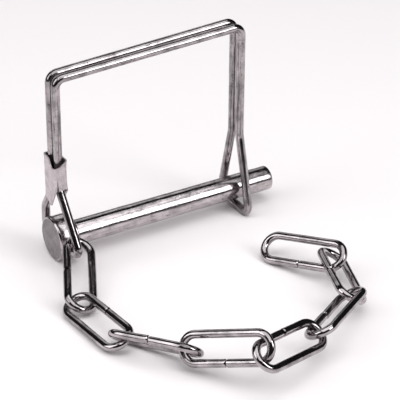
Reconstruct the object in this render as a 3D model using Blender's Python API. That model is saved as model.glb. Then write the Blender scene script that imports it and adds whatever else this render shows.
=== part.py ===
"""Hitch pin lock: a coupler pin locked by a square wire bail, with a short loose chain.

The frame has its origin at the centre of the head's flat outer face, +X along the pin
towards its tip and +Z up through the upright bail. The head, the loop under the tip and
the chain all lie on one level, HEAD_RADIUS below the pin's axis.
"""
import math

import bmesh
import bpy
from mathutils import Matrix, Vector

MM = 0.001

# Pin: a 1/4 inch shaft with a thick upset head, drilled across for the bail.
SHAFT_RADIUS = 3.175 * MM
PIN_LENGTH = 62.0 * MM
HEAD_RADIUS = 5.62 * MM
HEAD_LENGTH = 5.4 * MM
HEAD_EDGE = 0.5 * MM
SHOULDER_EDGE = 0.35 * MM
SHOULDER_FILLET = 0.5 * MM
TIP_CHAMFER = 0.6 * MM
CROSS_HOLE_RADIUS = 1.4 * MM
CROSS_HOLE_X = 2.1 * MM
PIN_SIDES = 48
HOLE_SIDES = 24
DRILL_OVERRUN = 2.0 * MM
EDGE_SHARE = 0.3
FILLET_STEPS = 3
SMOOTH_BELOW = math.radians(35)

# Bail: one spring wire, doubled. Its two ends butt inside the head's cross-hole, then spread
# into a triangle that reaches further out in front, where the chain hangs.
WIRE_RADIUS = 1.07 * MM
WIRE_BEVEL_STEPS = 4
BEND_STEPS = 6
WIRE_END_GAP = 0.3 * MM
CORNER_BEND = 2.2 * MM
LEFT_LEG_FOOT_X = 2.1 * MM
FRONT_EYE = (-12.0 * MM, 0.0)
BACK_EYE = ((7.1 * MM, 0.0), (6.9 * MM, 5.8 * MM))
FRONT_EYE_BEND = 1.6 * MM
BACK_EYE_BENDS = (2.0 * MM, 3.0 * MM)
FRONT_EYE_TOP = 14.4 * MM
BACK_EYE_TOP = 13.2 * MM
EYE_TOP_BEND = 3.0 * MM
TOP_LEFT = (2.3 * MM, 43.2 * MM)
TOP_RIGHT = (53.0 * MM, 45.4 * MM)
RIGHT_LEG_FOOT = (52.6 * MM, 15.8 * MM)
LOOP_X = 52.1 * MM
LOOP_Z = -4.55 * MM
LOOP_FRONT_Y = -7.5 * MM
LOOP_BACK_Y = 6.75 * MM
LOOP_BEND = 2.0 * MM
LOOP_SHOULDER_BEND = 8.0 * MM
LEFT_SPREAD = 1.6 * MM
RIGHT_SPREAD = 1.75 * MM
BAIL_LEAN = 0.6 * MM
MOUTH_BEND = 20.0 * MM
RELEASE_CUT_Z = 41.0 * MM
RELEASE_CUT_GAP = 0.3 * MM
RELEASE_PIVOT = (58.5 * MM, 45.0 * MM)

# Ferrule: a sheet sleeve crimped round the two wires, with a tongue on each flat side.
SHEET = 0.36 * MM
FERRULE_GAP = 0.27 * MM
FERRULE_TOP = 22.3 * MM
FERRULE_MOUTH_DIP = 1.4 * MM
FERRULE_FOOT = 14.8 * MM
TONGUE_EDGE = ((-2.9 * MM, 14.8 * MM), (0.2 * MM, 9.3 * MM), (2.9 * MM, 10.8 * MM))
FERRULE_Y = 0.4 * MM
FERRULE_CORNER = 1.3 * MM
FERRULE_DIP_AT = (0.6 * MM, -2.4 * MM)
FERRULE_DIP_REACH = 3.2 * MM
FERRULE_CORNER_STEPS = 4
FERRULE_SIDE_STEPS = 6

# Chain: eight bent-wire links, each butted in the middle of one long side.
LINK_WIRE_RADIUS = 1.0 * MM
LINK_LENGTH = 22.4 * MM
LINK_WIDTH = 6.6 * MM
LINK_SEAM = 0.12 * MM
LINK_BEND_STEPS = 10
CONTACT_STEPS = 8

# How each link lies: heading, pitch and roll in degrees, centre x, y and z in millimetres,
# and the long side (+1 or -1) that carries the butt seam.
CHAIN_LAY = [
    (-115.8, -14.0, -25.8, -0.8, -16.9, -0.8, -1),
    (-85.2, 1.6, 24.1, -4.8, -33.7, -3.0, 1),
    (-59.5, 7.2, -42.5, 1.3, -50.4, -1.35, -1),
    (-54.5, 17.1, 61.9, 11.5, -64.5, 2.2, -1),
    (20.1, -10.0, 36.5, 24.5, -70.3, 1.9, 1),
    (32.3, -2.6, -30.3, 42.2, -62.1, 0.1, 1),
    (71.3, -2.1, 30.3, 53.0, -48.3, -0.8, 1),
    (116.0, -10.8, -40.6, 51.0, -34.6, -0.9, 1),
]


def principled(name, colour, roughness, metallic=1.0):
    material = bpy.data.materials.new(name)
    material.use_nodes = True
    shader = material.node_tree.nodes["Principled BSDF"]
    shader.inputs["Base Color"].default_value = (*colour, 1.0)
    shader.inputs["Roughness"].default_value = roughness
    shader.inputs["Metallic"].default_value = metallic
    return material


def add_object(name, data, material=None):
    piece = bpy.data.objects.new(name, data)
    bpy.context.scene.collection.objects.link(piece)
    if material:
        data.materials.append(material)
    return piece


def pivot_empty(name, point):
    """An empty on a joint's axis, to carry the piece that turns there."""
    empty = add_object(name, None)
    empty.empty_display_size = 3.0 * MM
    empty.location = point
    return empty


def carry(piece, empty):
    """Parent a piece, or another empty, that is already in place to an empty on its axis."""
    piece.parent = empty
    piece.matrix_parent_inverse = Matrix.Translation(-Vector(empty.location))


def rounded_path(corners):
    """Centreline through (point, bend radius) corners, each bend a true arc."""
    points = [Vector(corners[0][0])]
    for index in range(1, len(corners) - 1):
        corner = Vector(corners[index][0])
        radius = corners[index][1]
        back = (Vector(corners[index - 1][0]) - corner).normalized()
        ahead = (Vector(corners[index + 1][0]) - corner).normalized()
        half = back.angle(ahead) / 2
        centre = corner + (back + ahead).normalized() * radius / math.sin(half)
        start = (corner + back * radius / math.tan(half) - centre).normalized()
        end = (corner + ahead * radius / math.tan(half) - centre).normalized()
        for step in range(BEND_STEPS + 1):
            points.append(centre + radius * start.slerp(end, step / BEND_STEPS))
    points.append(Vector(corners[-1][0]))
    return points


def wire(name, points, radius, material):
    """A round wire along a centreline, with flat closed ends."""
    curve = bpy.data.curves.new(name, "CURVE")
    curve.dimensions = "3D"
    curve.bevel_depth = radius
    curve.bevel_resolution = WIRE_BEVEL_STEPS
    curve.use_fill_caps = True
    spline = curve.splines.new("POLY")
    spline.points.add(len(points) - 1)
    for spline_point, point in zip(spline.points, points):
        spline_point.co = (*point, 1.0)
    return add_object(name, curve, material)


def turned(name, profile, sides, material):
    """A solid turned about the X axis from (x, radius) points, closed by flat ends."""
    mesh = bpy.data.meshes.new(name)
    work = bmesh.new()
    rings = []
    for x, radius in profile:
        angles = [2 * math.pi * side / sides for side in range(sides)]
        rings.append([work.verts.new((x, radius * math.cos(a), radius * math.sin(a)))
                      for a in angles])
    for ring, following in zip(rings, rings[1:]):
        for side in range(sides):
            after = (side + 1) % sides
            work.faces.new((ring[side], following[side], following[after], ring[after]))
    work.faces.new(rings[0])
    work.faces.new(rings[-1])
    bmesh.ops.recalc_face_normals(work, faces=work.faces)
    work.to_mesh(mesh)
    work.free()
    mesh.shade_smooth()
    mesh.set_sharp_from_angle(angle=SMOOTH_BELOW)
    return add_object(name, mesh, material)


def cut(piece, cutter):
    """Subtract a hidden cutter from a piece."""
    cutter.hide_render = True
    cutter.display_type = "WIRE"
    boolean = piece.modifiers.new(cutter.name, "BOOLEAN")
    boolean.operation = "DIFFERENCE"
    boolean.object = cutter


def make_pin(material):
    fillet = [(HEAD_LENGTH + SHOULDER_FILLET * (1 - math.cos(a)),
               SHAFT_RADIUS + SHOULDER_FILLET * (1 - math.sin(a)))
              for a in (math.pi / 2 * step / FILLET_STEPS for step in range(FILLET_STEPS + 1))]
    profile = [(0, HEAD_RADIUS - HEAD_EDGE),
               (HEAD_EDGE * EDGE_SHARE, HEAD_RADIUS - HEAD_EDGE * EDGE_SHARE),
               (HEAD_EDGE, HEAD_RADIUS),
               (HEAD_LENGTH - SHOULDER_EDGE, HEAD_RADIUS),
               (HEAD_LENGTH, HEAD_RADIUS - SHOULDER_EDGE),
               *fillet,
               (PIN_LENGTH - TIP_CHAMFER, SHAFT_RADIUS),
               (PIN_LENGTH - TIP_CHAMFER * EDGE_SHARE, SHAFT_RADIUS - TIP_CHAMFER * EDGE_SHARE),
               (PIN_LENGTH, SHAFT_RADIUS - TIP_CHAMFER)]
    pin = turned("pin", profile, PIN_SIDES, material)
    reach = HEAD_RADIUS + DRILL_OVERRUN
    drill = turned("cross_hole_drill", [(-reach, CROSS_HOLE_RADIUS), (reach, CROSS_HOLE_RADIUS)],
                   HOLE_SIDES, material)
    drill.location = (CROSS_HOLE_X, 0, 0)
    drill.rotation_euler = (0, 0, math.pi / 2)
    cut(pin, drill)
    return pin


def left_loop(side):
    """Corners from the butted end in the cross-hole up to the ferrule, on one side."""
    foot = LEFT_LEG_FOOT_X
    inside = FERRULE_Y + side * LEFT_SPREAD
    corners = [((foot, side * WIRE_END_GAP / 2, 0), 0)]
    if side > 0:
        corners += [((foot, *place), bend) for place, bend in zip(BACK_EYE, BACK_EYE_BENDS)]
        corners.append(((foot, inside, BACK_EYE_TOP), EYE_TOP_BEND))
    else:
        corners.append(((foot, *FRONT_EYE), FRONT_EYE_BEND))
        corners.append(((foot, inside, FRONT_EYE_TOP), EYE_TOP_BEND))
    return corners


def arch(side):
    """Corners of one wire over the top, from the ferrule to the cut on the right leg."""
    mouth = (LEFT_LEG_FOOT_X, FERRULE_Y + side * LEFT_SPREAD, FERRULE_TOP)
    left = (TOP_LEFT[0], BAIL_LEAN + side * LEFT_SPREAD, TOP_LEFT[1])
    right = (TOP_RIGHT[0], BAIL_LEAN + side * RIGHT_SPREAD, TOP_RIGHT[1])
    return [(mouth, MOUTH_BEND), (left, CORNER_BEND), (right, CORNER_BEND)]


def right_leg_point(side, z):
    """A point on the straight right leg, between its top corner and its foot."""
    share = (TOP_RIGHT[1] - z) / (TOP_RIGHT[1] - RIGHT_LEG_FOOT[1])
    x = TOP_RIGHT[0] + share * (RIGHT_LEG_FOOT[0] - TOP_RIGHT[0])
    y = BAIL_LEAN * (1 - share / 2) + side * RIGHT_SPREAD
    return (x, y, z)


def make_bail_half(side, material):
    """One of the two wires that run together from the head over the top."""
    name = "bail_wire_back" if side > 0 else "bail_wire_front"
    end = (right_leg_point(side, RELEASE_CUT_Z + RELEASE_CUT_GAP / 2), 0)
    corners = left_loop(side) + arch(side) + [end]
    return wire(name, rounded_path(corners), WIRE_RADIUS, material)


def make_release_loop(material):
    """The right leg of the bail with the triangular loop that snaps round the pin."""
    start = RELEASE_CUT_Z - RELEASE_CUT_GAP / 2
    foot_z = RIGHT_LEG_FOOT[1]
    corners = [(right_leg_point(1, start), 0),
               (right_leg_point(1, foot_z), LOOP_SHOULDER_BEND),
               ((LOOP_X, LOOP_BACK_Y, LOOP_Z), LOOP_BEND),
               ((LOOP_X, LOOP_FRONT_Y, LOOP_Z), LOOP_BEND),
               (right_leg_point(-1, foot_z), LOOP_SHOULDER_BEND),
               (right_leg_point(-1, start), 0)]
    return wire("bail_release_loop", rounded_path(corners), WIRE_RADIUS, material)


def sleeve_outline(inset):
    """Plan outline of the ferrule round the two wires: (x, y) points, anticlockwise."""
    reach = WIRE_RADIUS + FERRULE_GAP + SHEET - inset
    corners = []
    for turn, (along_x, along_y) in enumerate(((1, 1), (-1, 1), (-1, -1), (1, -1))):
        radius = FERRULE_CORNER - inset
        centre = Vector((LEFT_LEG_FOOT_X + along_x * (reach - radius),
                         FERRULE_Y + along_y * (LEFT_SPREAD + reach - radius)))
        corners.append([centre + Vector((radius * math.cos(angle), radius * math.sin(angle)))
                        for angle in (math.pi / 2 * (turn + step / FERRULE_CORNER_STEPS)
                                      for step in range(FERRULE_CORNER_STEPS + 1))])
    outline = []
    for corner, following in zip(corners, corners[1:] + corners[:1]):
        outline += corner
        outline += [corner[-1].lerp(following[0], step / FERRULE_SIDE_STEPS)
                    for step in range(1, FERRULE_SIDE_STEPS)]
    return outline


def sleeve_top(x, y):
    """Height of the ferrule's mouth, which dips at its near corner."""
    distance = math.hypot(x - FERRULE_DIP_AT[0], y - FERRULE_DIP_AT[1])
    return FERRULE_TOP - FERRULE_MOUTH_DIP * max(0.0, 1.0 - distance / FERRULE_DIP_REACH)


def sleeve_foot(x, y):
    """Height of the ferrule's lower edge: a tongue hangs from each flat side."""
    if abs(x - LEFT_LEG_FOOT_X) < WIRE_RADIUS:
        return FERRULE_FOOT
    near, tip, far = TONGUE_EDGE
    start, end = (near, tip) if y < tip[0] else (tip, far)
    share = min(1.0, max(0.0, (y - start[0]) / (end[0] - start[0])))
    return start[1] + (end[1] - start[1]) * share


def make_ferrule(material):
    """The crimped sleeve: a thin closed wall lofted round the outline."""
    mesh = bpy.data.meshes.new("ferrule")
    work = bmesh.new()
    outer = sleeve_outline(0.0)
    inner = sleeve_outline(SHEET)
    loops = []
    for outline, height in ((outer, sleeve_foot), (outer, sleeve_top),
                            (inner, sleeve_top), (inner, sleeve_foot)):
        loops.append([work.verts.new((place.x, place.y, height(*rim)))
                      for place, rim in zip(outline, outer)])
    count = len(outer)
    for loop, following in zip(loops, loops[1:] + loops[:1]):
        for index in range(count):
            after = (index + 1) % count
            work.faces.new((loop[index], loop[after], following[after], following[index]))
    bmesh.ops.recalc_face_normals(work, faces=work.faces)
    work.to_mesh(mesh)
    work.free()
    return add_object("ferrule", mesh, material)


def link_outline():
    """Centreline of one link in its own plane, from one side of the butt seam to the other."""
    radius = LINK_WIDTH / 2
    straight = LINK_LENGTH / 2 - radius
    points = [(LINK_SEAM / 2, radius)]
    for end in (1, -1):
        for step in range(LINK_BEND_STEPS + 1):
            angle = math.pi * (0.5 - step / LINK_BEND_STEPS)
            points.append((end * (straight + radius * math.cos(angle)),
                           end * radius * math.sin(angle)))
    points.append((-LINK_SEAM / 2, radius))
    return points


def link_placement(lay):
    heading, pitch, roll = (math.radians(angle) for angle in lay[:3])
    turn = (Matrix.Rotation(heading, 4, "Z") @ Matrix.Rotation(-pitch, 4, "Y")
            @ Matrix.Rotation(roll, 4, "X"))
    return Matrix.Translation(Vector(lay[3:6]) * MM) @ turn


def link_points(lay):
    """A link's centreline where it lies, seam side included."""
    placement = link_placement(lay)
    seam_side = lay[6]
    return [placement @ Vector((seam_side * x, seam_side * y, 0)) for x, y in link_outline()]


def contact_point(points, hooked):
    """The point of a parent's wire centreline that is nearest the wire hooked on it."""
    best = None
    for start, end in zip(points, points[1:]):
        for step in range(CONTACT_STEPS):
            point = start.lerp(end, step / CONTACT_STEPS)
            gap = min((point - other).length for other in hooked)
            if best is None or gap < best[0]:
                best = (gap, point)
    return best[1]


def make_chain(bail_path, bail_pivot, material):
    """The links in order, each carried by a pivot on the wire that it hangs from."""
    parent_points = bail_path
    parent_pivot = bail_pivot
    for number, lay in enumerate(CHAIN_LAY, start=1):
        points = link_points(lay)
        link = wire(f"chain_link_{number}", points, LINK_WIRE_RADIUS, material)
        pivot = pivot_empty(f"chain_pivot_{number}", contact_point(parent_points, points))
        carry(pivot, parent_pivot)
        carry(link, pivot)
        parent_points = points
        parent_pivot = pivot


def build():
    for stale in list(bpy.data.objects):
        bpy.data.objects.remove(stale, do_unlink=True)
    zinc = principled("zinc_plated_steel", (0.55, 0.54, 0.54), 0.3)
    spring_steel = principled("bright_spring_wire", (0.48, 0.47, 0.47), 0.22)
    sheet = principled("dull_galvanised_sheet", (0.5, 0.49, 0.48), 0.5, 0.9)
    nickel = principled("nickel_plated_chain", (0.42, 0.41, 0.41), 0.15)

    make_pin(zinc)
    swing = pivot_empty("bail_swing_pivot", (LEFT_LEG_FOOT_X, 0, 0))
    release = pivot_empty("release_pivot", (RELEASE_PIVOT[0], 0, RELEASE_PIVOT[1]))
    carry(release, swing)
    for side in (1, -1):
        carry(make_bail_half(side, spring_steel), swing)
    carry(make_ferrule(sheet), swing)
    carry(make_release_loop(spring_steel), release)
    make_chain(rounded_path(left_loop(-1) + [arch(-1)[0]]), swing, nickel)


build()
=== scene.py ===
"""Looks for the hitch pin lock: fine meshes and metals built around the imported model.

Every piece replaces one CAD node. Lengths are written in millimetres times MM. Each chain
link is placed by reading where its CAD node lies.
"""
import math

import bmesh
import bpy
import numpy as np
from mathutils import Matrix, Vector, noise


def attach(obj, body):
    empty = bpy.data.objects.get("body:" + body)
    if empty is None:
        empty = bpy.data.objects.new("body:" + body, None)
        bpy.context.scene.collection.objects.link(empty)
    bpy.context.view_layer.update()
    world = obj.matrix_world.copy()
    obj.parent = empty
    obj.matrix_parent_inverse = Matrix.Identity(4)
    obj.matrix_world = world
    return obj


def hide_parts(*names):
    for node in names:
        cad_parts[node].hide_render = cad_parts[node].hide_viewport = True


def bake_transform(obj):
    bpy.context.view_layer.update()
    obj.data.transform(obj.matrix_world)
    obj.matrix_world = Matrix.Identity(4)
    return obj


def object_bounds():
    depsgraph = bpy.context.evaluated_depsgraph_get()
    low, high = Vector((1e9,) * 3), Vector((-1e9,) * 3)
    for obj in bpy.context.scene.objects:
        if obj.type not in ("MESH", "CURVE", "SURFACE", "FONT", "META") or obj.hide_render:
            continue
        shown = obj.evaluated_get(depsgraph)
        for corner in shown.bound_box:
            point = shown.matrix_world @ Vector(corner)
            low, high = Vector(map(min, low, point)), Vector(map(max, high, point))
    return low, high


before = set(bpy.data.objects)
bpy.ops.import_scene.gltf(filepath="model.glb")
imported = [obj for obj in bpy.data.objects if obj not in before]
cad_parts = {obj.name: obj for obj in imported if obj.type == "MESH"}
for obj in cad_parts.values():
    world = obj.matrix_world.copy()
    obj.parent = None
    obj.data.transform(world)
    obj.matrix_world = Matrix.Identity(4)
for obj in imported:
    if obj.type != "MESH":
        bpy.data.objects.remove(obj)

CAD_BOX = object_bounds()
MM = 0.001

# Camera: a long lens from in front of the head's end, 30 degrees above the floor.
VIEW_AZIMUTH = 30.0
VIEW_ELEVATION = 30.1
VIEW_DISTANCE = 478.9 * MM
VIEW_AIM = (39.5 * MM, -4.3 * MM, 1.8 * MM)
LENS_MM = 171.4
CLIP_START = 10 * MM

# Studio. Each soft box: name, size, place (metres), watts, and whether the metal mirrors it.
FLOOR_REACH = 3.0
PAPER_COLOUR = (0.975, 0.94, 0.953, 1.0)
PAPER_ROUGHNESS = 0.9
PAPER_SHEEN = 0.1
ROOM_COLOUR = (0.02, 0.02, 0.02, 1.0)
LIGHT_AIM = (30 * MM, -20 * MM, 0)
SOFT_BOXES = (
    ("overhead_box", (0.6, 0.6), (0.02, -0.14, 0.52), 1.9, True),
    ("front_box", (0.26, 0.34), (0.31, -0.51, 0.36), 1.6, True),
    ("left_box", (0.4, 0.5), (-0.5, 0.08, 0.38), 1.5, True),
    ("back_card", (0.6, 0.36), (0.15, 0.64, 0.38), 0.5, True),
    ("floor_wash", (1.3, 1.3), (0.06, 0.16, 0.66), 2.3, False),
)

# Pin, along X from the head's outer face.
SHAFT_RADIUS = 3.175 * MM
PIN_LENGTH = 62.0 * MM
HEAD_RADIUS = 5.62 * MM
HEAD_LENGTH = 5.4 * MM
HEAD_EDGE = 0.55 * MM
SHOULDER_EDGE = 0.4 * MM
SHOULDER_FILLET = 0.5 * MM
TIP_EDGE = 0.6 * MM
CROSS_HOLE_RADIUS = 1.4 * MM
PIN_SIDES = 128
SHAFT_RINGS = 70
HEAD_SIDE_RINGS = 8
HEAD_FACE_RINGS = (0.18, 0.4, 0.6, 0.78)
TIP_FACE_RINGS = (0.6, 0.3)
HEAD_EDGE_STEPS = 6
SHOULDER_STEPS = 5
FILLET_STEPS = 6
TIP_STEPS = 7
DENT_DEPTH = 0.035 * MM
DENT_SIZE = 3.5 * MM
HOLE_SIDES = 48
FACE_DEPTH = 0.02 * MM
SHARP_DEGREES = 38.0

# Bail wire.
WIRE_RADIUS = 1.07 * MM
WIRE_SIDES = 28
WIRE_STEP = 0.7 * MM
WIRE_EDGE = 0.02 * MM
BEND_STEP = math.radians(7.5)
FEWEST_BEND_STEPS = 4
WIRE_END_GAP = 0.3 * MM
CORNER_BEND = 2.2 * MM
LEFT_LEG_X = 2.1 * MM
TOP_LEFT = (2.3 * MM, 43.2 * MM)
TOP_RIGHT = (53.0 * MM, 45.4 * MM)
RIGHT_LEG_FOOT = (52.6 * MM, 15.8 * MM)
LOOP_X = 52.1 * MM
LOOP_Z = -4.55 * MM
LOOP_FRONT_Y = -7.5 * MM
LOOP_BACK_Y = 6.75 * MM
LOOP_BEND = 2.0 * MM
LOOP_SHOULDER_BEND = 8.0 * MM
LEFT_SPREAD = 1.6 * MM
RIGHT_SPREAD = 1.75 * MM
BAIL_LEAN = 0.6 * MM
MOUTH_BEND = 20.0 * MM
FRONT_EYE = (-12.0 * MM, 0.0)
BACK_EYE = ((7.1 * MM, 0.0), (6.9 * MM, 5.8 * MM))
FRONT_EYE_BEND = 1.6 * MM
BACK_EYE_BENDS = (2.0 * MM, 3.0 * MM)
FRONT_EYE_TOP = 14.4 * MM
BACK_EYE_TOP = 13.2 * MM
EYE_TOP_BEND = 3.0 * MM
FLEX_START_Z = 42.0 * MM

# Ferrule.
SHEET = 0.36 * MM
FERRULE_GAP = 0.27 * MM
FERRULE_Y = 0.4 * MM
FERRULE_CORNER = 0.95 * MM
FERRULE_TOP = 22.3 * MM
FERRULE_DIP = 1.5 * MM
FERRULE_DIP_AT = (0.6 * MM, -2.4 * MM)
FERRULE_DIP_REACH = 3.0 * MM
MOUTH_START = 18.6 * MM
MOUTH_FLARE = 1.1 * MM
MOUTH_REACH = 2.0 * MM
FERRULE_FOOT = 14.7 * MM
TONGUE_EDGE = ((-2.9 * MM, 14.7 * MM), (0.2 * MM, 9.3 * MM), (2.9 * MM, 10.8 * MM))
FERRULE_ROWS = 26
FERRULE_CORNER_STEPS = 9
FERRULE_FLAT_STEPS = 22
FERRULE_SHARP_DEGREES = 34.0
RAGGED_EDGE = 0.09 * MM
RAGGED_SIZE = 0.8 * MM
SLIT_X = 1.05 * MM
SLIT_HALF_WIDTH = 0.13 * MM
SLIT_TOP = 17.2 * MM
FOOT_SLANT = 0.15 * MM
TONGUE_ROUNDING = 0.35
CRIMP_GROOVE = 0.16 * MM
CRIMP_GROOVE_WIDTH = 0.9 * MM
CRIMP_GROOVE_Z = 18.3 * MM
CRIMP_GROOVE_REACH = 3.2 * MM
FOOT_FLARE = 0.42 * MM
FOOT_FLARE_Z = 16.2 * MM
FOOT_FLARE_REACH = 2.0 * MM
FOOT_FLARE_POWER = 1.5
TOP_FLARE = 0.12 * MM
TOP_FLARE_Z = 20.8 * MM
TOP_FLARE_REACH = 1.5 * MM
MOST_FLARE = 0.4 * MM
SHEET_DENT = 0.07 * MM
SHEET_DENT_SIZE = 1.7 * MM

# Chain link wire.
LINK_WIRE_RADIUS = 1.0 * MM
LINK_SIDES = 24
SEAM_GAP = 0.3 * MM
SEAM_STEP = 0.14 * MM
LINK_STEP = 0.45 * MM
LINK_EDGE = 0.2 * MM
LINK_COUNT = 8
BENDS_AT = (0.25, 0.75)
BEND_SHARE = 0.06
BEND_THINNING = 0.035
CENTRING_ROUNDS = 3
SEAM_BAND = 0.25 * MM

LINK_FEWEST_RUNS = 2
LINK_FEWEST_BENDS = 6
SEAM_SIDE_BAND = 0.9

# Metal patterns. Each noise: scale per metre, detail and roughness.
TINT = (1.0, 0.972, 0.98)
STREAK_NOISE = (2400.0, 5.0, 0.65)
SCRATCH_NOISE = (3100.0, 3.0, 0.5)
PIT_NOISE = (1500.0, 6.0, 0.8)
CLOUD_DETAIL = 5.0
CLOUD_ROUGHNESS = 0.6
CLOUD_SCALE = 260.0
CLOUD_SPREAD = 0.28
SCRATCH_STRETCH = 3
SCRATCH_RELIEF = 0.04 * MM
PIT_STRETCH = (1.0, 1.0, 0.45)
EVEN = (1.0, 1.0, 1.0)
STREAK_RAMP = (0.34, 0.56)
PIT_RAMP = (0.36, 0.44)
ROUGHNESS_RAMP = (0.36, 0.66)
ROUGH_STREAKS = (1.3, 0.85)
ROUGH_STREAK_RAMP = (0.4, 0.6)


# --- Node-building helpers -----------------------------------------------------------------

def node(tree, kind, **values):
    """Add a shader node. Keys are input names with _ for spaces, or node settings."""
    made = tree.nodes.new(kind)
    for key, value in values.items():
        name = key.replace("_", " ")
        if name in made.inputs:
            made.inputs[name].default_value = value
        else:
            setattr(made, key, value)
    return made


def ramp(tree, source, low, high, start, end):
    """Turn a 0-1 factor into a value or a colour between low and high."""
    made = tree.nodes.new("ShaderNodeValToRGB")
    made.color_ramp.elements[0].position = start
    made.color_ramp.elements[1].position = end
    made.color_ramp.elements[0].color = (*low, 1.0)
    made.color_ramp.elements[1].color = (*high, 1.0)
    tree.links.new(source, made.inputs["Fac"])
    return made.outputs["Color"]


def grey(value):
    return tuple(value * part for part in TINT)


def stretched_noise(tree, space, stretch, scale, detail, roughness):
    """Noise in a space that is stretched, for streaks and scratches."""
    mapping = node(tree, "ShaderNodeMapping")
    mapping.inputs["Scale"].default_value = stretch
    tree.links.new(space, mapping.inputs["Vector"])
    made = node(tree, "ShaderNodeTexNoise", Scale=scale, Detail=detail, Roughness=roughness)
    tree.links.new(mapping.outputs["Vector"], made.inputs["Vector"])
    return made.outputs["Fac"]


def multiplied(tree, first, second):
    made = tree.nodes.new("ShaderNodeMix")
    made.data_type = "RGBA"
    made.blend_type = "MULTIPLY"
    made.inputs["Factor"].default_value = 1.0
    tree.links.new(first, made.inputs["A"])
    tree.links.new(second, made.inputs["B"])
    return made.outputs["Result"]


def metal(name, tone, roughness, streak, blotch, scratch_depth, pits, blotch_scale=CLOUD_SCALE,
          along=EVEN):
    """A worn metal: streaks along the work, cloudy blotches, fine scratches and dark pits.

    tone, roughness: (low, high) ranges. streak, blotch, pits: how strongly each shows.
    along: how the streaks' space is stretched, small along the streaks.
    """
    material = bpy.data.materials.new(name)
    material.use_nodes = True
    tree = material.node_tree
    shader = tree.nodes["Principled BSDF"]
    shader.inputs["Metallic"].default_value = 1.0
    place = node(tree, "ShaderNodeAttribute", attribute_name="wire_space")
    place.attribute_type = "GEOMETRY"
    space = place.outputs["Vector"]

    streaks = stretched_noise(tree, space, along, *STREAK_NOISE)
    clouds = stretched_noise(tree, space, EVEN, blotch_scale, CLOUD_DETAIL, CLOUD_ROUGHNESS)
    scratches = stretched_noise(tree, space, tuple(SCRATCH_STRETCH * part for part in along),
                                *SCRATCH_NOISE)

    base = ramp(tree, clouds, grey(tone[0]), grey(tone[1]),
                0.5 - CLOUD_SPREAD * blotch, 0.5 + CLOUD_SPREAD)
    streaked = ramp(tree, streaks, grey(1.0 - streak), grey(1.0), *STREAK_RAMP)
    spots = stretched_noise(tree, space, PIT_STRETCH, *PIT_NOISE)
    specks = ramp(tree, spots, grey(1.0 - pits), grey(1.0), *PIT_RAMP)
    tree.links.new(multiplied(tree, multiplied(tree, base, streaked), specks),
                   shader.inputs["Base Color"])

    rough = ramp(tree, clouds, (roughness[1],) * 3, (roughness[0],) * 3, *ROUGHNESS_RAMP)
    rough_streaks = ramp(tree, scratches, (ROUGH_STREAKS[0],) * 3, (ROUGH_STREAKS[1],) * 3,
                         *ROUGH_STREAK_RAMP)
    tree.links.new(multiplied(tree, rough, rough_streaks), shader.inputs["Roughness"])

    bump = node(tree, "ShaderNodeBump", Strength=scratch_depth, Distance=SCRATCH_RELIEF)
    tree.links.new(scratches, bump.inputs["Height"])
    tree.links.new(bump.outputs["Normal"], shader.inputs["Normal"])
    return material


# --- Mesh helpers --------------------------------------------------------------------------

def rounded_path(corners):
    """Centreline through (point, bend radius) corners, evenly divided, each bend an arc."""
    points = [Vector(corners[0][0])]
    for index in range(1, len(corners) - 1):
        corner = Vector(corners[index][0])
        radius = corners[index][1]
        back = (Vector(corners[index - 1][0]) - corner).normalized()
        ahead = (Vector(corners[index + 1][0]) - corner).normalized()
        half = back.angle(ahead) / 2
        centre = corner + (back + ahead).normalized() * radius / math.sin(half)
        start = (corner + back * radius / math.tan(half) - centre).normalized()
        end = (corner + ahead * radius / math.tan(half) - centre).normalized()
        steps = max(FEWEST_BEND_STEPS, int(start.angle(end) / BEND_STEP))
        for step in range(steps + 1):
            points.append(centre + radius * start.slerp(end, step / steps))
    points.append(Vector(corners[-1][0]))
    even = []
    for start, end in zip(points, points[1:]):
        pieces = max(1, round((end - start).length / WIRE_STEP))
        even += [start.lerp(end, piece / pieces) for piece in range(pieces)]
    return even + [points[-1]]


def tube(name, path, radius, sides, material, edge, squash=None):
    """A round wire swept along a path with chamfered flat ends.

    squash(share) may give the scale of the section at a share of the length. Each vertex keeps
    its place in the wire's own space, round the section and along the length, for the metal's
    streaks.
    """
    count = len(path)
    tangents = []
    for index in range(count):
        before = path[max(0, index - 1)]
        after = path[min(count - 1, index + 1)]
        tangents.append((after - before).normalized())
    normal = tangents[0].orthogonal().normalized()
    work = bmesh.new()
    space = work.verts.layers.float_vector.new("wire_space")
    rings = []
    travelled = 0.0
    for index, (centre, tangent) in enumerate(zip(path, tangents)):
        if index:
            travelled += (centre - path[index - 1]).length
            turn = tangents[index - 1].rotation_difference(tangent)
            normal = (turn @ normal).normalized()
        binormal = tangent.cross(normal)
        scale = squash(index / (count - 1)) if squash else 1.0
        last = index in (0, count - 1)
        inward = tangent if index == 0 else -tangent
        sections = [(radius - edge, 0.0), (radius, edge)] if last else [(radius, 0.0)]
        if index == count - 1:
            sections.reverse()
        for size, shift in sections:
            ring = []
            for side in range(sides):
                angle = 2 * math.pi * side / sides
                across = (normal * math.cos(angle) + binormal * math.sin(angle)) * scale
                vert = work.verts.new(centre + across * size + inward * shift)
                vert[space] = (size * math.cos(angle), size * math.sin(angle), travelled)
                ring.append(vert)
            rings.append(ring)
    for ring, following in zip(rings, rings[1:]):
        for side in range(sides):
            after = (side + 1) % sides
            work.faces.new((ring[side], ring[after], following[after], following[side]))
    work.faces.new(tuple(reversed(rings[0])))
    work.faces.new(rings[-1])
    return finish_mesh(name, work, [material])


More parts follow.
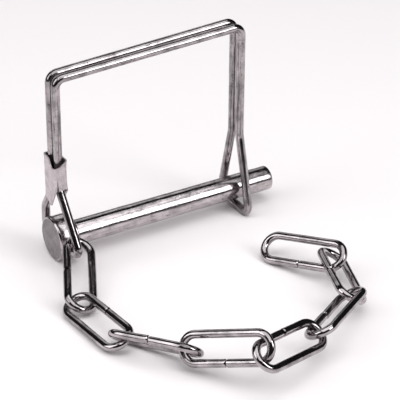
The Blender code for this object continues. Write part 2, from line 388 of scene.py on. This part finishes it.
def finish_mesh(name, work, materials, sharp_degrees=SHARP_DEGREES):
    mesh = bpy.data.meshes.new(name)
    bmesh.ops.recalc_face_normals(work, faces=work.faces)
    work.to_mesh(mesh)
    work.free()
    mesh.shade_smooth()
    mesh.set_sharp_from_angle(angle=math.radians(sharp_degrees))
    piece = bpy.data.objects.new(name, mesh)
    bpy.context.scene.collection.objects.link(piece)
    for material in materials:
        mesh.materials.append(material)
    return piece


def dress(piece, body, node_name):
    """Let a piece ride on a body in place of one CAD node."""
    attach(piece, body)
    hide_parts(node_name)


# --- Pin -----------------------------------------------------------------------------------

def arc(centre_x, centre_r, radius, start, end, steps):
    """Profile points (x, r) on an arc, angles in degrees from the +X direction."""
    return [(centre_x + radius * math.cos(math.radians(start + (end - start) * step / steps)),
             centre_r + radius * math.sin(math.radians(start + (end - start) * step / steps)))
            for step in range(steps + 1)]


def pin_profile():
    """(x, r) points from the head's flat face to the tip's flat face."""
    face = [(0.0, HEAD_RADIUS * share) for share in HEAD_FACE_RINGS]
    head_rim = arc(HEAD_EDGE, HEAD_RADIUS - HEAD_EDGE, HEAD_EDGE, 180, 90,
                   HEAD_EDGE_STEPS)
    shoulder = arc(HEAD_LENGTH - SHOULDER_EDGE, HEAD_RADIUS - SHOULDER_EDGE,
                   SHOULDER_EDGE, 90, 0, SHOULDER_STEPS)
    fillet = arc(HEAD_LENGTH + SHOULDER_FILLET, SHAFT_RADIUS + SHOULDER_FILLET,
                 SHOULDER_FILLET, 180, 270, FILLET_STEPS)
    tip = arc(PIN_LENGTH - TIP_EDGE, SHAFT_RADIUS - TIP_EDGE, TIP_EDGE, 90, 0, TIP_STEPS)
    end = [(PIN_LENGTH, SHAFT_RADIUS * share) for share in TIP_FACE_RINGS]
    start_x = HEAD_LENGTH + SHOULDER_FILLET
    run = PIN_LENGTH - TIP_EDGE - start_x
    shaft = [(start_x + run * step / SHAFT_RINGS, SHAFT_RADIUS)
             for step in range(1, SHAFT_RINGS)]
    side_run = HEAD_LENGTH - SHOULDER_EDGE - HEAD_EDGE
    head_side = [(HEAD_EDGE + side_run * step / HEAD_SIDE_RINGS, HEAD_RADIUS)
                 for step in range(1, HEAD_SIDE_RINGS)]
    return face + head_rim + head_side + shoulder + fillet + shaft + tip + end


def make_pin(plating, cut_face):
    """The pin: turned, then slightly uneven as a forged and tumbled part is, then drilled."""
    work = bmesh.new()
    space = work.verts.layers.float_vector.new("wire_space")
    rings = []
    for x, radius in pin_profile():
        ring = []
        for side in range(PIN_SIDES):
            angle = 2 * math.pi * side / PIN_SIDES
            probe = Vector((x, radius * math.cos(angle), radius * math.sin(angle)))
            dent = DENT_DEPTH * noise.noise(probe / DENT_SIZE) - DENT_DEPTH
            if x <= 0 or x >= PIN_LENGTH:
                dent = 0.0
            place = Vector((x, (radius + dent) * math.cos(angle),
                            (radius + dent) * math.sin(angle)))
            vert = work.verts.new(place)
            vert[space] = (place.y, place.z, place.x)
            ring.append(vert)
        rings.append(ring)
    for ring, following in zip(rings, rings[1:]):
        for side in range(PIN_SIDES):
            after = (side + 1) % PIN_SIDES
            work.faces.new((ring[side], ring[after], following[after], following[side]))
    work.faces.new(rings[0])
    work.faces.new(rings[-1])
    pin = finish_mesh("pin_solid", work, [plating, cut_face])
    drill_cross_hole(pin)
    for polygon in pin.data.polygons:
        polygon.material_index = 1 if polygon.center.x < FACE_DEPTH else 0
    dress(pin, "pin", "pin")


def drill_cross_hole(pin):
    """Cut the hole that the bail's two ends enter, and keep the result as plain mesh."""
    work = bmesh.new()
    bmesh.ops.create_cone(work, cap_ends=True, segments=HOLE_SIDES, radius1=CROSS_HOLE_RADIUS,
                          radius2=CROSS_HOLE_RADIUS, depth=HEAD_RADIUS * 3,
                          matrix=Matrix.Translation((LEFT_LEG_X, 0, 0))
                          @ Matrix.Rotation(math.pi / 2, 4, "X"))
    drill = finish_mesh("cross_hole_drill", work, [])
    boolean = pin.modifiers.new("cross_hole", "BOOLEAN")
    boolean.operation = "DIFFERENCE"
    boolean.object = drill
    evaluated = pin.evaluated_get(bpy.context.evaluated_depsgraph_get())
    drilled = bpy.data.meshes.new_from_object(evaluated)
    pin.modifiers.clear()
    pin.data = drilled
    drilled.shade_smooth()
    drilled.set_sharp_from_angle(angle=math.radians(SHARP_DEGREES))
    bpy.data.objects.remove(drill)


# --- Bail ----------------------------------------------------------------------------------

def left_loop(side):
    """Corners from the butted end in the cross-hole up to the ferrule, on one side."""
    foot = LEFT_LEG_X
    inside = FERRULE_Y + side * LEFT_SPREAD
    corners = [((foot, side * WIRE_END_GAP / 2, 0), 0)]
    if side > 0:
        corners += [((foot, *place), bend) for place, bend in zip(BACK_EYE, BACK_EYE_BENDS)]
        corners.append(((foot, inside, BACK_EYE_TOP), EYE_TOP_BEND))
    else:
        corners.append(((foot, *FRONT_EYE), FRONT_EYE_BEND))
        corners.append(((foot, inside, FRONT_EYE_TOP), EYE_TOP_BEND))
    return corners


def arch(side):
    """Corners of one wire over the top, from the ferrule to the right leg."""
    mouth = (LEFT_LEG_X, FERRULE_Y + side * LEFT_SPREAD, FERRULE_TOP)
    left = (TOP_LEFT[0], BAIL_LEAN + side * LEFT_SPREAD, TOP_LEFT[1])
    right = (TOP_RIGHT[0], BAIL_LEAN + side * RIGHT_SPREAD, TOP_RIGHT[1])
    return [(mouth, MOUTH_BEND), (left, CORNER_BEND), (right, CORNER_BEND)]


def right_leg_point(side, z):
    """A point on the straight right leg, between its top corner and its foot."""
    share = (TOP_RIGHT[1] - z) / (TOP_RIGHT[1] - RIGHT_LEG_FOOT[1])
    x = TOP_RIGHT[0] + share * (RIGHT_LEG_FOOT[0] - TOP_RIGHT[0])
    y = BAIL_LEAN * (1 - share / 2) + side * RIGHT_SPREAD
    return (x, y, z)


def make_bail(wire_metal):
    """The two upper wires, and the right leg with the loop that snaps round the pin. The leg
    flexes on the real part; here the loop is one fixed mesh on no body.
    """
    for side, label in ((1, "back"), (-1, "front")):
        corners = left_loop(side) + arch(side) + [(right_leg_point(side, FLEX_START_Z), 0)]
        upper = tube(f"bail_{label}_run", rounded_path(corners), WIRE_RADIUS, WIRE_SIDES,
                     wire_metal, edge=WIRE_EDGE)
        dress(upper, "bail", f"bail_wire_{label}")
    foot_z = RIGHT_LEG_FOOT[1]
    corners = [(right_leg_point(1, FLEX_START_Z), 0),
               (right_leg_point(1, foot_z), LOOP_SHOULDER_BEND),
               ((LOOP_X, LOOP_BACK_Y, LOOP_Z), LOOP_BEND),
               ((LOOP_X, LOOP_FRONT_Y, LOOP_Z), LOOP_BEND),
               (right_leg_point(-1, foot_z), LOOP_SHOULDER_BEND),
               (right_leg_point(-1, FLEX_START_Z), 0)]
    loop = tube("bail_snap_loop", rounded_path(corners), WIRE_RADIUS, WIRE_SIDES, wire_metal,
                edge=WIRE_EDGE)
    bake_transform(loop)
    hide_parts("bail_release_loop")


# --- Ferrule -------------------------------------------------------------------------------

def ferrule_outline():
    """Plan outline of the sleeve's outer face, with the outward direction at each point."""
    reach = WIRE_RADIUS + FERRULE_GAP + SHEET
    corners = []
    for turn, (along_x, along_y) in enumerate(((1, 1), (-1, 1), (-1, -1), (1, -1))):
        centre = Vector((LEFT_LEG_X + along_x * (reach - FERRULE_CORNER),
                         FERRULE_Y + along_y * (LEFT_SPREAD + reach - FERRULE_CORNER)))
        corner = []
        for step in range(FERRULE_CORNER_STEPS + 1):
            angle = math.radians(90 * (turn + step / FERRULE_CORNER_STEPS))
            outward = Vector((math.cos(angle), math.sin(angle)))
            corner.append((centre + outward * FERRULE_CORNER, outward))
        corners.append(corner)
    outline = []
    for corner, following in zip(corners, corners[1:] + corners[:1]):
        outline += corner
        start, outward = corner[-1]
        end = following[0][0]
        outline += [(start.lerp(end, step / FERRULE_FLAT_STEPS), outward)
                    for step in range(1, FERRULE_FLAT_STEPS)]
    return outline


def ferrule_top(place):
    """Height of the mouth, which dips in a V at the near corner and is slightly ragged."""
    distance = (place - Vector(FERRULE_DIP_AT)).length
    ragged = RAGGED_EDGE * noise.noise(Vector((place.x, place.y, 0)) / RAGGED_SIZE)
    return FERRULE_TOP + ragged - FERRULE_DIP * max(0.0, 1.0 - distance / FERRULE_DIP_REACH)


def ferrule_foot(place):
    """Height of the lower edge: a tongue hangs from each flat side, and a slit runs up
    beside the near corner."""
    slit = place.y < FERRULE_Y - LEFT_SPREAD and abs(place.x - SLIT_X) < SLIT_HALF_WIDTH
    if slit:
        return SLIT_TOP
    if abs(place.x - LEFT_LEG_X) < WIRE_RADIUS:
        return FERRULE_FOOT + FOOT_SLANT * (place.x - LEFT_LEG_X) / WIRE_RADIUS
    near, tip, far = TONGUE_EDGE
    start, end = (near, tip) if place.y < tip[0] else (tip, far)
    share = min(1.0, max(0.0, (place.y - start[0]) / (end[0] - start[0])))
    smooth = share * share * (3 - 2 * share)
    rounded = smooth * TONGUE_ROUNDING + share * (1 - TONGUE_ROUNDING)
    return start[1] + (end[1] - start[1]) * rounded


def ferrule_swell(place, outward, z):
    """How far the sheet stands out or in from its plain outline at one height."""
    middle = math.exp(-((place.y - FERRULE_Y) / CRIMP_GROOVE_WIDTH) ** 2)
    height = math.exp(-((z - CRIMP_GROOVE_Z) / CRIMP_GROOVE_REACH) ** 2)
    groove = -CRIMP_GROOVE * middle * height * abs(outward.x)
    low = max(0.0, (FOOT_FLARE_Z - z) / FOOT_FLARE_REACH) ** FOOT_FLARE_POWER
    flare = FOOT_FLARE * low * max(0.0, -outward.y)
    flare += TOP_FLARE * max(0.0, (z - TOP_FLARE_Z) / TOP_FLARE_REACH) * abs(outward.y)
    near = math.exp(-((place - Vector(FERRULE_DIP_AT)).length / MOUTH_REACH) ** 2)
    mouth = MOUTH_FLARE * near * max(0.0, (z - MOUTH_START) / (FERRULE_TOP - MOUTH_START))
    dents = SHEET_DENT * noise.noise(Vector((place.x, place.y, z)) / SHEET_DENT_SIZE)
    return groove + min(flare, MOST_FLARE) + mouth + dents


def make_ferrule(material):
    """The crimped sleeve: an outer and an inner face joined by the mouth and the lower edge."""
    work = bmesh.new()
    space = work.verts.layers.float_vector.new("wire_space")
    outline = ferrule_outline()
    columns = []
    for place, outward in outline:
        top = ferrule_top(place)
        foot = ferrule_foot(place)
        column = []
        for inset, rows in ((0.0, range(FERRULE_ROWS + 1)),
                            (SHEET, range(FERRULE_ROWS, -1, -1))):
            for row in rows:
                z = foot + (top - foot) * row / FERRULE_ROWS
                spot = place + outward * (ferrule_swell(place, outward, z) - inset)
                vert = work.verts.new((spot.x, spot.y, z))
                vert[space] = (spot.x, spot.y, z)
                column.append(vert)
        columns.append(column)
    for column, following in zip(columns, columns[1:] + columns[:1]):
        for index in range(len(column)):
            after = (index + 1) % len(column)
            work.faces.new((column[index], following[index], following[after], column[after]))
    ferrule = finish_mesh("ferrule_sleeve", work, [material], FERRULE_SHARP_DEGREES)
    dress(ferrule, "bail", "ferrule")


# --- Chain ---------------------------------------------------------------------------------

def link_frame(cad):
    """Where a CAD link lies: its placement, its half-length and half-width to the wire's
    outside, and the side (+1 or -1 in local y) that carries the seam."""
    points = np.array([vert.co for vert in cad.data.vertices])
    centre = (points.max(0) + points.min(0)) / 2
    for _ in range(CENTRING_ROUNDS):
        spread = np.linalg.svd(points - points.mean(0), full_matrices=False)[2]
        local = (points - centre) @ spread.T
        centre = centre + (local.max(0) + local.min(0)) / 2 @ spread
    local = (points - centre) @ spread.T
    half_length, half_width = local.max(0)[:2]
    seam = local[np.abs(local[:, 0]) < SEAM_BAND]
    seam_side = 1.0 if seam[:, 1].mean() > 0 else -1.0
    long_axis = Vector(spread[0])
    wide_axis = Vector(spread[1])
    turn = Matrix((long_axis, wide_axis, long_axis.cross(wide_axis))).transposed().to_4x4()
    return Matrix.Translation(Vector(centre)) @ turn, half_length, half_width, seam_side


def link_path(half_length, half_width, seam_side, lift):
    """A link's centreline from one side of the seam to the other, one end lifted by lift."""
    radius = half_width - LINK_WIRE_RADIUS
    straight = half_length - LINK_WIRE_RADIUS - radius
    points = [Vector((SEAM_GAP / 2, radius, 0))]
    runs = max(LINK_FEWEST_RUNS, round(straight / LINK_STEP))
    bends = max(LINK_FEWEST_BENDS, round(math.pi * radius / LINK_STEP))
    points += [Vector((SEAM_GAP / 2 + (straight - SEAM_GAP / 2) * step / runs, radius, 0))
               for step in range(1, runs)]
    points += [Vector((straight + radius * math.sin(math.pi * step / bends),
                       radius * math.cos(math.pi * step / bends), 0))
               for step in range(bends + 1)]
    points += [Vector((straight - straight * step / runs, -radius, 0))
               for step in range(1, 2 * runs)]
    points += [Vector((-straight - radius * math.sin(math.pi * step / bends),
                       -radius * math.cos(math.pi * step / bends), 0))
               for step in range(bends + 1)]
    points += [Vector((-straight + (straight - SEAM_GAP / 2) * step / runs, radius, 0))
               for step in range(1, runs + 1)]
    for point in points:
        if point.y > radius * SEAM_SIDE_BAND and point.x > 0:
            point.z += lift * max(0.0, 1.0 - point.x / straight) ** 2
    return [Vector((point.x * seam_side, point.y * seam_side, point.z)) for point in points]


def link_thinning(share):
    """Bends thin a link's wire a little: the two rounds lie a quarter of the way in."""
    bend = sum(math.exp(-((share - middle) / BEND_SHARE) ** 2) for middle in BENDS_AT)
    return 1.0 - BEND_THINNING * bend


def make_chain(plating):
    """Every link, the height of its seam's step alternating from link to link."""
    for number in range(1, LINK_COUNT + 1):
        name = f"chain_link_{number}"
        placement, half_length, half_width, seam_side = link_frame(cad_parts[name])
        lift = SEAM_STEP * (1 if number % 2 else -1)
        path = [placement @ point for point in link_path(half_length, half_width,
                                                         seam_side, lift)]
        link = tube(f"link_{number}", path, LINK_WIRE_RADIUS, LINK_SIDES, plating,
                    edge=LINK_EDGE, squash=link_thinning)
        dress(link, f"link_{number}", name)


# --- Stage ---------------------------------------------------------------------------------

def emitter(name, size, place, power, mirrored):
    """A rectangular soft box aimed at the middle of the part. One that isn't mirrored lights
    the floor without showing in the metal."""
    light = bpy.data.lights.new(name, "AREA")
    light.shape = "RECTANGLE"
    light.size, light.size_y = size
    light.energy = power
    lamp = bpy.data.objects.new(name, light)
    lamp.location = place
    lamp.rotation_euler = (Vector(LIGHT_AIM) - lamp.location).to_track_quat("-Z", "Y").to_euler()
    lamp.visible_glossy = mirrored
    bpy.context.scene.collection.objects.link(lamp)


def make_stage():
    """A pale paper floor and soft boxes in a dark room, so that the metal shows black edges."""
    floor_z = CAD_BOX[0][2]
    mesh = bpy.data.meshes.new("floor")
    mesh.from_pydata([(-FLOOR_REACH, -FLOOR_REACH, floor_z), (FLOOR_REACH, -FLOOR_REACH, floor_z),
                      (FLOOR_REACH, FLOOR_REACH, floor_z), (-FLOOR_REACH, FLOOR_REACH, floor_z)],
                     [], [(0, 1, 2, 3)])
    floor = bpy.data.objects.new("floor", mesh)
    bpy.context.scene.collection.objects.link(floor)
    paper = bpy.data.materials.new("white_paper")
    paper.use_nodes = True
    shader = paper.node_tree.nodes["Principled BSDF"]
    shader.inputs["Base Color"].default_value = PAPER_COLOUR
    shader.inputs["Roughness"].default_value = PAPER_ROUGHNESS
    shader.inputs["Specular IOR Level"].default_value = PAPER_SHEEN
    mesh.materials.append(paper)

    world = bpy.data.worlds.new("dark_room")
    world.use_nodes = True
    world.node_tree.nodes["Background"].inputs["Color"].default_value = ROOM_COLOUR
    bpy.context.scene.world = world
    for box in SOFT_BOXES:
        emitter(*box)


def make_camera():
    azimuth = math.radians(VIEW_AZIMUTH)
    elevation = math.radians(VIEW_ELEVATION)
    forward = Vector((math.sin(azimuth) * math.cos(elevation),
                      math.cos(azimuth) * math.cos(elevation), -math.sin(elevation)))
    data = bpy.data.cameras.new("camera")
    data.lens = LENS_MM
    data.clip_start = CLIP_START
    camera = bpy.data.objects.new("camera", data)
    camera.location = Vector(VIEW_AIM) - forward * VIEW_DISTANCE
    camera.rotation_euler = forward.to_track_quat("-Z", "Y").to_euler()
    bpy.context.scene.collection.objects.link(camera)
    bpy.context.scene.camera = camera


def build():
    zinc = metal("zinc_plated_steel", tone=(0.3, 0.78), roughness=(0.05, 0.15), streak=0.35,
                 blotch=1.0, scratch_depth=0.35, pits=0.75, along=(1.0, 1.0, 0.06))
    face = metal("sheared_head_face", tone=(0.27, 0.4), roughness=(0.42, 0.6), streak=0.12,
                 blotch=0.8, scratch_depth=0.4, pits=0.25, blotch_scale=420.0)
    drawn = metal("bright_spring_wire", tone=(0.16, 0.68), roughness=(0.06, 0.16), streak=0.45,
                  blotch=0.9, scratch_depth=0.2, pits=0.85, along=(1.0, 1.0, 0.05))
    sheet = metal("dull_galvanised_sheet", tone=(0.56, 0.76), roughness=(0.4, 0.55), streak=0.1,
                  blotch=0.9, scratch_depth=0.3, pits=0.3, blotch_scale=600.0)
    nickel = metal("nickel_plated_chain", tone=(0.22, 0.7), roughness=(0.04, 0.12), streak=0.45,
                   blotch=0.8, scratch_depth=0.25, pits=0.5, along=(1.0, 1.0, 0.05))
    make_pin(zinc, face)
    make_bail(drawn)
    make_ferrule(sheet)
    make_chain(nickel)
    make_stage()
    make_camera()
    bpy.context.scene.view_settings.view_transform = "Standard"


build()
